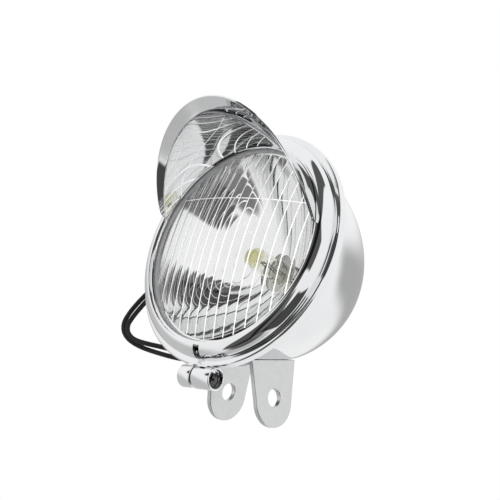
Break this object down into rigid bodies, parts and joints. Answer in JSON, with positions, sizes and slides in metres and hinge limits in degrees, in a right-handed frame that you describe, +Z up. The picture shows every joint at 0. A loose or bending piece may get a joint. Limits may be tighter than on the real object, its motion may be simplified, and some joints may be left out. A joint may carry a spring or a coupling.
{
  "type": "motorcycle auxiliary driving light",
  "caption": "Chromed bowl-shaped motorcycle driving light with split clamp ring, peaked visor, fluted glass and ear bracket.",
  "frame": {"origin": "middle of the pivot bolt's axis, halfway between the two ears", "axes": "+X along the pivot bolt, to the right as seen from in front of the glass, -Y along the beam, +Z up"},
  "size_m": [0.1366, 0.116, 0.1339],
  "materials": {
    "chrome": "bright plated",
    "screw_steel": "dark zinc",
    "glass": "clear, fluted",
    "bulb_glass": "clear, faint yellow",
    "mirror": "bright metallised",
    "black_rubber": "matt",
    "spring_steel": "bright",
    "tungsten": "dull",
    "bulb_metal": "satin",
    "black_plastic": "matt",
    "wire_jacket": "smooth black"
  },
  "bodies": {
    "root": {"bucket": "chrome", "bracket_web": "chrome", "bracket_ear_right": "chrome", "bracket_ear_left": "chrome", "bracket_rivets": "spring_steel", "trim_ring": "chrome", "clamp_lug_right": "chrome", "clamp_lug_left": "chrome", "clamp_screw": "screw_steel", "visor": "chrome", "lens": "glass", "lens_gasket": "black_rubber", "reflector": "mirror", "unit_clips": "spring_steel", "bulb_envelope": "bulb_glass", "bulb_filament": "tungsten", "bulb_base": "bulb_metal", "bulb_clip": "spring_steel", "bulb_connector": "black_plastic", "cable_grommet": "black_rubber", "wire_live": "wire_jacket", "wire_earth": "wire_jacket"}
  },
  "joints": []
}
